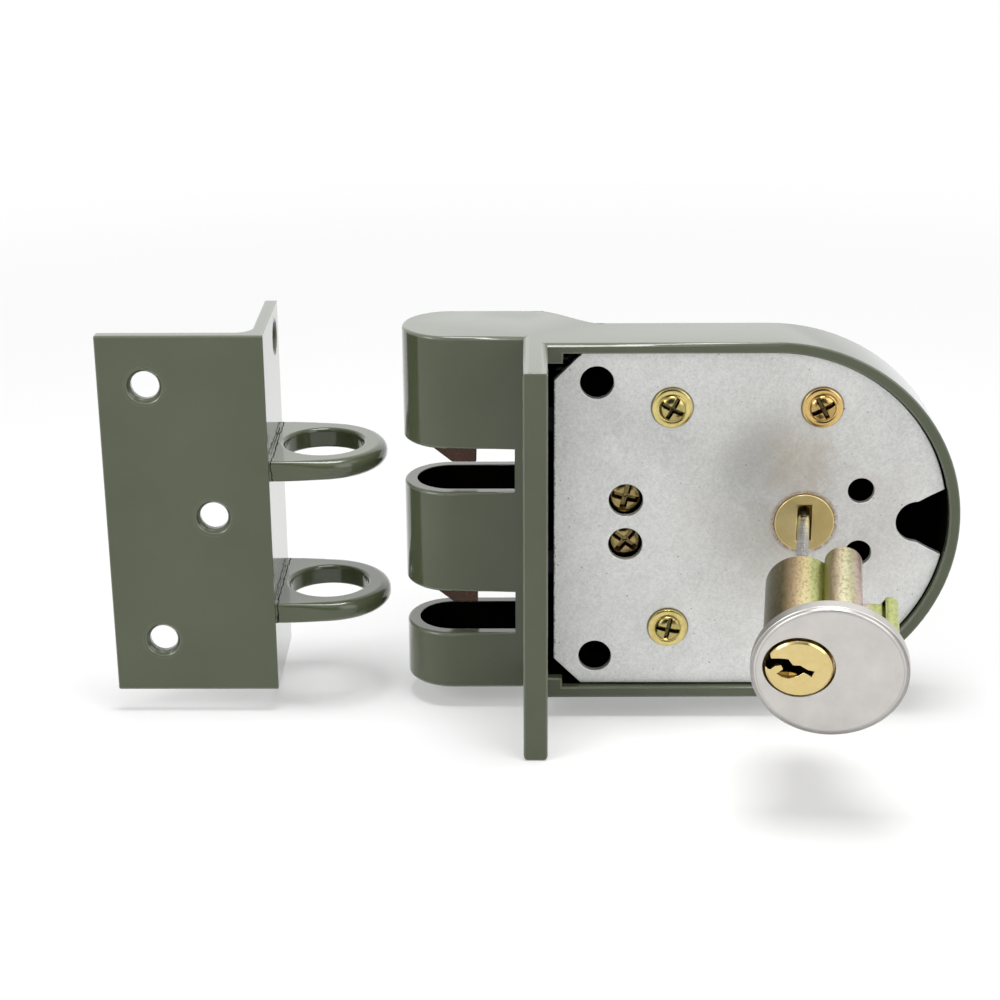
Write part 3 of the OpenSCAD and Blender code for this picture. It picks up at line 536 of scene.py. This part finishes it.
for node, made in nodes.items():
    made.data.materials.clear()
    made.data.materials.append(FINISH[node])


# Tools for pieces


def finish_piece(name, bm, node, slot, sharp=30.0, instead=True, finish=None):
    """Puts a modelled mesh in the scene, for a node or beside it, with soft shading and sharp corners."""
    for face in bm.faces:
        face.smooth = True
    for edge in bm.edges:
        edge.smooth = len(edge.link_faces) == 2 and edge.calc_face_angle(0.0) < math.radians(sharp)
    mesh = bpy.data.meshes.new(name)
    bm.to_mesh(mesh)
    bm.free()
    mesh.materials.append(finish or FINISH[node])
    # Painted pieces carry the lighter edge paint as a second finish: a painted highlight for their
    # rounded edges
    if slot == "paint":
        mesh.materials.append(EDGE_HIGHLIGHT_PAINT)
    piece = bpy.data.objects.new(name, mesh)
    scene.collection.objects.link(piece)
    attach(piece, BODY[node])
    if instead:
        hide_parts(node)
    return piece


def round_edges(piece, width, segments, highlight_slot=-1):
    """Rounds the edges that carry a weight, giving the rounding the lighter edge paint where there is
    one: a painted highlight along the edge.
    """
    bevel = piece.modifiers.new("edges", "BEVEL")
    bevel.width = width
    bevel.segments = segments
    bevel.limit_method = "WEIGHT"
    bevel.use_clamp_overlap = False
    bevel.harden_normals = True
    bevel.miter_outer = "MITER_ARC"
    bevel.material = highlight_slot


def rounded_copy(node, name, slot, width, segments=3, weigh=None):
    """The node's own shape with its outer edges rounded: a merged copy, its flat faces made whole."""
    bm = bmesh.new()
    bm.from_mesh(nodes[node].data)
    bmesh.ops.remove_doubles(bm, verts=bm.verts, dist=MERGE)
    bmesh.ops.dissolve_limit(bm, angle_limit=FLAT, verts=bm.verts, edges=bm.edges)
    layer = bm.edges.layers.float.new("bevel_weight_edge")
    for edge in bm.edges:
        if edge.is_convex and edge.calc_face_angle(0.0) > SHARP:
            edge[layer] = weigh(edge) if weigh else 1.0
    round_edges(finish_piece(name, bm, node, slot), width, segments, 1 if slot == "paint" else -1)


def turned(points, steps=48):
    """A closed solid turned about Y, from radius and Y of points that start and end on the axis."""
    bm = bmesh.new()
    rim = [bm.verts.new((radius, y, 0.0)) for radius, y in points]
    edges = [bm.edges.new(pair) for pair in zip(rim, rim[1:])]
    bmesh.ops.spin(bm, geom=rim + edges, cent=(0, 0, 0), axis=(0, 1, 0), angle=math.tau, steps=steps,
        use_merge=True)
    bmesh.ops.remove_doubles(bm, verts=bm.verts, dist=MERGE / 10)
    bmesh.ops.recalc_face_normals(bm, faces=bm.faces)
    return bm


def taper_block(bm, long, wide, deep, end_long, end_wide, angle):
    """A wedge that goes along +Y from the XZ plane, wide at its mouth and small at its end."""
    made = bmesh.ops.create_cube(bm, size=2.0)["verts"]
    for v in made:
        inner = v.co.y > 0
        v.co = Vector((v.co.x * (end_long if inner else long), deep if inner else -deep,
            v.co.z * (end_wide if inner else wide)))
    bmesh.ops.rotate(bm, verts=made, cent=(0, 0, 0), matrix=Matrix.Rotation(angle, 3, "Y"))


def as_object(bm, name):
    mesh = bpy.data.meshes.new(name)
    bm.to_mesh(mesh)
    bm.free()
    made = bpy.data.objects.new(name, mesh)
    scene.collection.objects.link(made)
    return made


# Rounding of a screw's edges, and the angle in degrees from which they stay sharp in shading
SCREW_EDGE = 0.07 * MM
SCREW_SHARP = 34.0

# Cross recess: what is left of its arms' length and width at their foot, and the pocket in its middle
FOOT_LONG, FOOT_WIDE = 0.6, 0.55
POCKET_MOUTH, POCKET_FOOT, POCKET_DEEP = 1.35, 0.5, 1.1


def cross_screw(points, top_y, reach, wide, deep):
    """A turned screw with a cross recess cut in its head, as a mesh."""
    screw = as_object(turned(points), "screw_blank")
    bm = bmesh.new()
    for angle in (0.0, math.pi / 2):
        taper_block(bm, reach, wide, deep, reach * FOOT_LONG, wide * FOOT_WIDE, angle)
    mouth, foot = wide * POCKET_MOUTH, wide * POCKET_FOOT
    taper_block(bm, mouth, mouth, deep * POCKET_DEEP, foot, foot, math.pi / 4)
    bmesh.ops.translate(bm, verts=bm.verts, vec=(0, top_y, 0))
    cutter = as_object(bm, "cross_cutter")
    cut = screw.modifiers.new("cross", "BOOLEAN")
    cut.object = cutter
    cut.operation = "DIFFERENCE"
    cut.solver = "EXACT"
    cut.use_self = True
    edge = screw.modifiers.new("edge", "BEVEL")
    edge.width = SCREW_EDGE
    edge.segments = 2
    edge.limit_method = "ANGLE"
    edge.angle_limit = math.radians(SCREW_SHARP)
    shape = bpy.data.meshes.new_from_object(screw.evaluated_get(bpy.context.evaluated_depsgraph_get()))
    bpy.data.objects.remove(screw)
    bpy.data.objects.remove(cutter)
    return shape


def set_of_screws(node, name, slot, shape, places, turns):
    """Copies of one screw at their places, each turned as it was left by the driver."""
    bm = bmesh.new()
    for place, angle in zip(places, turns):
        start = len(bm.verts)
        bm.from_mesh(shape)
        bm.verts.ensure_lookup_table()
        made = bm.verts[start:]
        turn = Matrix.Rotation(math.radians(angle), 3, "Y")
        bmesh.ops.rotate(bm, verts=made, cent=(0, 0, 0), matrix=turn)
        bmesh.ops.translate(bm, verts=made, vec=place)
    finish_piece(name, bm, node, slot, SCREW_SHARP)


# Case, plate and strike

# Shares of the case's largest rounding: flange's corners, lobes outside and inside, other outer edges
CORNER_SHARE = 1.0
LOBE_SHARE = 0.55
MOUTH_SHARE = 0.15
OUTER_SHARE = 0.3

# How near an edge lies to the face that it belongs to
NEAR = 0.2 * MM
KNOB_BORE_R = 5.0 * MM


def case_edge(edge):
    """Share of the largest rounding that an edge of the case gets."""
    a, b = (v.co for v in edge.verts)
    middle, along = (a + b) / 2, (b - a).normalized()
    at_end = max(a.z, b.z) < case_low.z + NEAR / 2 or min(a.z, b.z) > HALF_H - NEAR / 2
    if min(a.y, b.y) < -0.5 * MM and at_end and abs(along.y) > 0.9:
        return CORNER_SHARE
    lobe_way = math.hypot(max(LOBE_X - middle.x, 0.0), middle.y - LOBE_Y)
    if middle.x < ROOT_X - 0.3 * MM:
        return LOBE_SHARE if lobe_way > LOBE_R - NEAR else MOUTH_SHARE
    round_the_case = math.hypot(max(middle.x - ROUND_X, 0.0), middle.z) > HALF_H - NEAR
    before_the_plate = middle.y < plate_low.y - 1.0 * MM
    on_the_back = middle.y > CASE_BACK - NEAR
    return OUTER_SHARE if round_the_case or before_the_plate or on_the_back else 0.0


def knob_edge(edge):
    """The knob is rounded everywhere but at the bore for its screw."""
    middle = (edge.verts[0].co + edge.verts[1].co) / 2
    return 0.0 if math.hypot(middle.x, middle.z) < KNOB_BORE_R else 1.0


rounded_copy("case", "case_painted", "paint", 1.4 * MM, 3, case_edge)
rounded_copy("back_plate", "back_plate_pressed", "zinc", 0.2 * MM, 2)
rounded_copy("strike_angle", "strike_painted", "paint", 0.45 * MM)
rounded_copy("thumbturn", "thumbturn_painted", "paint", 0.55 * MM, 3, knob_edge)


# Rounding of a ring's rim, its share at the hole and at the root, and the steps round a ring
RIM_ROUND = 2.3 * MM
HOLE_SHARE = 0.42
ROOT_SHARE = 0.12
RING_STEPS = 96


def keeper_ring(node, name):
    """Ring of the strike: a flat eye with a broad rounded rim that fades out along its root."""
    low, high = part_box(node)
    thick = high.z - low.z
    outer = (high.y - low.y) / 2
    root = low.x + LEG_T
    centre = Vector((high.x - outer, (low.y + high.y) / 2, low.z))
    bm = bmesh.new()
    bmesh.ops.create_circle(bm, radius=RING_HOLE_R, segments=RING_STEPS)
    rim = bmesh.ops.create_circle(bm, radius=outer, segments=RING_STEPS)["verts"]
    for v in rim:
        if v.co.x < 0:
            v.co *= min(outer / max(abs(v.co.y), 1e-9), (centre.x - root) / abs(v.co.x))
    bmesh.ops.bridge_loops(bm, edges=bm.edges[:])
    bmesh.ops.recalc_face_normals(bm, faces=bm.faces)
    if sum(face.normal.z for face in bm.faces) < 0:
        bmesh.ops.reverse_faces(bm, faces=bm.faces)
    bmesh.ops.solidify(bm, geom=bm.faces[:], thickness=thick)
    lowest = min(v.co.z for v in bm.verts)
    bmesh.ops.translate(bm, verts=bm.verts, vec=centre - Vector((0, 0, lowest)))
    bmesh.ops.recalc_face_normals(bm, faces=bm.faces)
    layer = bm.edges.layers.float.new("bevel_weight_edge")
    for edge in bm.edges:
        if len(edge.link_faces) != 2 or edge.calc_face_angle(0.0) < math.radians(60):
            continue
        middle = (edge.verts[0].co + edge.verts[1].co) / 2
        flat = (middle - centre).to_2d()
        if flat.length < RING_HOLE_R + 0.5 * MM:
            edge[layer] = HOLE_SHARE
        elif middle.x > root + 0.5 * MM:
            fade = min(max((middle.x - root) / (centre.x - root), 0.0), 1.0)
            edge[layer] = ROOT_SHARE + (1.0 - ROOT_SHARE) * fade * fade
    tenon = bmesh.ops.create_cube(bm, size=1.0)["verts"]
    bmesh.ops.scale(bm, verts=tenon, vec=(LEG_T, TENON_W, thick))
    bmesh.ops.translate(bm, verts=tenon, vec=(low.x + LEG_T / 2, centre.y, centre.z + thick / 2))
    round_edges(finish_piece(name, bm, node, "paint"), RIM_ROUND, 6)


keeper_ring("upper_ring", "upper_keeper_ring")
keeper_ring("lower_ring", "lower_keeper_ring")


# Screws

# Heads as they are turned, from the middle of the top to the shank: radius and Y in millimetres
WASHER_HEAD = ((0, -1.9), (1.5, -1.86), (2.4, -1.66), (2.9, -1.36), (3.12, -1.0), (3.14, -0.86),
    (3.34, -0.80), (3.5, -0.88), (4.3, -0.88), (4.6, -0.78), (4.73, -0.55), (4.75, -0.2), (4.75, 0),
    (1.9, 0))
CHEESE_HEAD = ((0, 0), (2.0, 0.04), (3.2, 0.22), (3.9, 0.62), (4.22, 1.1), (4.3, 1.6), (4.3, 5.39),
    (1.2, 5.39))

# Cross recesses: reach, half width and depth
PLATE_CROSS = (3.9 * MM, 0.72 * MM, 1.7 * MM)
GUIDE_CROSS = (4.3 * MM, 1.0 * MM, 1.9 * MM)

# Degrees by which each screw was left turned
PLATE_TURNS = (28, 12, 62, 40)
GUIDE_TURNS = (14, 37)


def one_screw(profile, seat, end, cross):
    """A screw whose head sits at seat and whose shank keeps the profile's last radius up to end."""
    shank = profile[-1][0] * MM
    points = [(x * MM, seat + y * MM) for x, y in profile] + [(shank, end), (0, end)]
    return cross_screw(points, points[0][1], *cross)


def screw_heads():
    """Four washer-head screws in the plate and two cheese-head screws behind its access holes."""
    low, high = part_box("plate_screws")
    shape = one_screw(WASHER_HEAD, plate_low.y, high.y, PLATE_CROSS)
    places = [(x, 0, z) for x in (low.x + PLATE_HEAD_R, high.x - PLATE_HEAD_R)
        for z in (high.z - PLATE_HEAD_R, low.z + PLATE_HEAD_R)]
    set_of_screws("plate_screws", "plate_screws_cross_head", "brass", shape, places, PLATE_TURNS)

    low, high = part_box("guide_screws")
    shape = one_screw(CHEESE_HEAD, low.y, high.y, GUIDE_CROSS)
    middle = (low.x + high.x) / 2
    places = [(middle, 0, z) for z in (high.z - GUIDE_HEAD_R, low.z + GUIDE_HEAD_R)]
    set_of_screws("guide_screws", "guide_screws_cross_head", "brass", shape, places, GUIDE_TURNS)


screw_heads()


# Hub, bolts and cylinder

rounded_copy("hub", "hub_turned", "hub_brass", 0.22 * MM, 2)
rounded_copy("upper_bolt", "upper_bolt_ground", "bronze", 0.25 * MM, 2)
rounded_copy("lower_bolt", "lower_bolt_ground", "bronze", 0.25 * MM, 2)
rounded_copy("cylinder_body", "cylinder_body_cast", "shell", 0.3 * MM, 3)
rounded_copy("cylinder_face", "cylinder_face_turned", "nickel", 0.28 * MM, 3)
rounded_copy("cylinder_plug", "cylinder_plug_turned", "plug_brass", 0.1 * MM, 2)


def hang_up(bm):
    """Takes a shape from the cylinder's own frame to where the cylinder hangs."""
    bmesh.ops.transform(bm, matrix=HANG_UP, verts=bm.verts)


# Tailpiece: the length of tip that gives its section, and the chamfer of its ends
TIP = 2.0 * MM
TIP_CHAMFER = 0.35 * MM


def drawn_tail():
    """The tailpiece as it is drawn: a flat bar with fully rounded edges, headed inside the barrel."""
    low, high = hung_box("tailpiece")
    points = hung_points("tailpiece")
    tip = [q for q in points if q.y > high.y - TIP]
    half = {axis: max(abs(q[axis]) for q in tip) for axis in (0, 2)}
    head = [q.y for q in points if max(abs(q.x), abs(q.z)) > max(half.values()) + 0.5 * MM]
    thin, end = min(half.values()), TIP_CHAMFER
    bm = turned([(0, low.y), (thin - end, low.y), (thin, low.y + end), (thin, high.y - end),
        (thin - end, high.y), (0, high.y)], 40)
    for v in bm.verts:
        for axis in (0, 2):
            if abs(v.co[axis]) > 1e-7:
                v.co[axis] += math.copysign(half[axis] - thin, v.co[axis])
    if head:
        disc = turned([(0, min(head)), (high.x, min(head)), (high.x, max(head)), (0, max(head))])
        mesh = bpy.data.meshes.new("tail_head")
        disc.to_mesh(mesh)
        disc.free()
        bm.from_mesh(mesh)
    hang_up(bm)
    finish_piece("tailpiece_drawn", bm, "tailpiece", "zinc", 40.0)


# Ward in the keyway: middle behind the plug's face, half sizes, lean and thickness
WARD_AT = Vector((-2.6, 0.9, -2.35)) * MM
WARD_LONG, WARD_HIGH, WARD_LEAN = 2.5 * MM, 1.25 * MM, 0.35 * MM
WARD_THICK = 0.3 * MM


def keyway_ward():
    """The ward that shows in the keyway: a small lens-shaped flank, set back from the plug's face, in
    brass darkened as painted shade.
    """
    bm = bmesh.new()
    bmesh.ops.create_circle(bm, cap_ends=True, radius=1.0, segments=32)
    for v in bm.verts:
        v.co = WARD_AT + Vector((v.co.x * WARD_LONG, -v.co.y * WARD_LEAN, v.co.y * WARD_HIGH))
    bmesh.ops.translate(bm, verts=bm.verts, vec=(0, PLUG_FRONT, 0))
    bmesh.ops.recalc_face_normals(bm, faces=bm.faces)
    bmesh.ops.solidify(bm, geom=bm.faces[:], thickness=WARD_THICK)
    bmesh.ops.recalc_face_normals(bm, faces=bm.faces)
    hang_up(bm)
    finish_piece("keyway_ward", bm, "cylinder_plug", "plug_brass", instead=False, finish=WARD_SHADED_BRASS)


def coiled_spring():
    """The spring of the bolts, on a mesh of its own; in the lock it closes up against its seat as they
    rise.
    """
    bm = bmesh.new()
    bm.from_mesh(nodes["bolt_spring"].data)
    bmesh.ops.remove_doubles(bm, verts=bm.verts, dist=MERGE)
    piece = finish_piece("bolt_spring_coiled", bm, "bolt_spring", "steel")
    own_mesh(piece)


drawn_tail()
keyway_ward()
coiled_spring()


# Stage, light and camera

WHITE = (1.0, 1.0, 1.0)
LOCK_MIDDLE = (-0.05, 0.0, 0.0)

# Floor: share of white round the lock, where it starts to rise, and over what length it gets to 1
NEAR_SHARE = 0.34
RISE_FROM = 0.24
RISE_OVER = 0.4


def pale_floor():
    """White floor that keeps the shadow and shows as white to the camera and in reflections."""
    t = Tree("pale_floor")
    path = t.add("ShaderNodeLightPath")
    seen = (path[CAMERA_RAY] + path[GLOSSY_RAY] + path[TRANSMISSION_RAY]).math("MINIMUM", 1.0)
    x, y, _ = t.split(t.place(LOCK_MIDDLE))
    share = length(x, y).above(RISE_FROM, RISE_OVER) * (1.0 - NEAR_SHARE) + NEAR_SHARE
    matt = t.add("ShaderNodeBsdfDiffuse", None, (0.86, 0.86, 0.86))[0]
    white = t.add("ShaderNodeEmission", None, WHITE, 1.0)[0]
    shader = t.add("ShaderNodeMixShader", None, seen * share, matt, white)[0]
    t.add("ShaderNodeOutputMaterial", None, shader)
    return t.material


def stage_plane(name, size, place, material):
    bm = bmesh.new()
    bmesh.ops.create_grid(bm, x_segments=1, y_segments=1, size=size, matrix=place)
    made = as_object(bm, name)
    made.data.materials.append(material)
    return made


def card_black():
    """Matt black board."""
    t = Tree("card_black")
    colour = t.mix(t.noise(t.place(), 30.0), (0.02, 0.02, 0.02), (0.035, 0.035, 0.035))
    board = t.add("ShaderNodeBsdfDiffuse", None, colour)[0]
    t.add("ShaderNodeOutputMaterial", None, board)
    return t.material


# Floor under the lock, and a black card in front that darkens the reflections on it
FLOOR_HALF = 3.0
CARD_HALF = 0.62
FLOOR_AT = Matrix.Translation((0, 1.0, cad_box[0].z))
CARD_AT = Matrix.Translation((-0.05, -1.5, 0.55)) @ Matrix.Rotation(math.radians(75), 4, "X")
stage_plane("floor", FLOOR_HALF, FLOOR_AT, pale_floor())
card = stage_plane("dark_card", CARD_HALF, CARD_AT, card_black())
card.visible_camera = False

# Room: its strength as a light, and as the camera and the reflections show it
ROOM_LIGHT = 0.36
ROOM_SEEN = 1.0


def white_room():
    """White room: full white to the camera and in reflections, softer as a light."""
    world = bpy.data.worlds.new("white_room")
    world.use_nodes = True
    scene.world = world
    room, links = world.node_tree.nodes, world.node_tree.links
    room.clear()
    path = room.new("ShaderNodeLightPath")
    seen = path.outputs["Is Camera Ray"]
    for ray in ("Is Glossy Ray", "Is Transmission Ray"):
        either = room.new("ShaderNodeMath")
        either.operation = "MAXIMUM"
        links.new(seen, either.inputs[0])
        links.new(path.outputs[ray], either.inputs[1])
        seen = either.outputs[0]
    both = room.new("ShaderNodeMixShader")
    links.new(seen, both.inputs[0])
    for place, strength in ((1, ROOM_LIGHT), (2, ROOM_SEEN)):
        sky = room.new("ShaderNodeBackground")
        sky.inputs["Color"].default_value = (*WHITE, 1.0)
        sky.inputs["Strength"].default_value = strength
        links.new(sky.outputs[0], both.inputs[place])
    links.new(both.outputs[0], room.new("ShaderNodeOutputWorld").inputs["Surface"])


def soft_box(name, place, wide, high, power):
    """A soft area lamp at place that points at the lock."""
    lamp = bpy.data.lights.new(name, "AREA")
    lamp.shape = "RECTANGLE"
    lamp.size = wide
    lamp.size_y = high
    lamp.energy = power
    holder = bpy.data.objects.new(name, lamp)
    holder.location = place
    holder.rotation_euler = (-Vector(place)).to_track_quat("-Z", "Y").to_euler()
    holder.visible_camera = False
    scene.collection.objects.link(holder)


# Lamps: place, width and height in metres, and power in watts
LAMPS = {
    "front_left": ((-0.66, -0.42, 0.38), 0.36, 0.36, 2.5),
    "front_right": ((0.66, -0.60, 0.45), 0.8, 0.8, 3.2),
    "overhead": ((0.0, -0.05, 1.0), 0.45, 0.35, 8.0),
    "behind": ((0.0, 1.1, 0.6), 1.8, 0.7, 1.2),
}

white_room()
for lamp_name, settings in LAMPS.items():
    soft_box(lamp_name, *settings)

# Where the photograph was taken from: place in metres, turns in degrees, lens in millimetres
CAMERA_AT = (-0.0634, -0.4795, 0.1863)
CAMERA_YAW = -0.948
CAMERA_PITCH = 20.56
CAMERA_ROLL = -0.42
LENS = 78.98
SENSOR = 36.0


def photo_camera():
    """The camera at the photograph's place, with its turn, tilt and lens."""
    yaw, pitch, roll = (math.radians(a) for a in (CAMERA_YAW, CAMERA_PITCH, CAMERA_ROLL))
    level = Vector((math.sin(yaw), math.cos(yaw), 0.0)) * math.cos(pitch)
    forward = level - Vector((0, 0, math.sin(pitch)))
    right = Vector((math.cos(yaw), -math.sin(yaw), 0.0))
    up = right.cross(forward)
    side = math.cos(roll) * right + math.sin(roll) * up
    top = math.cos(roll) * up - math.sin(roll) * right
    data = bpy.data.cameras.new("camera")
    data.sensor_width = SENSOR
    data.lens = LENS
    data.clip_start = 0.01
    camera = bpy.data.objects.new("camera", data)
    turn = Matrix((side, top, -forward)).transposed().to_4x4()
    camera.matrix_world = Matrix.Translation(CAMERA_AT) @ turn
    scene.collection.objects.link(camera)
    scene.camera = camera


photo_camera()
scene.view_settings.view_transform = "Standard"
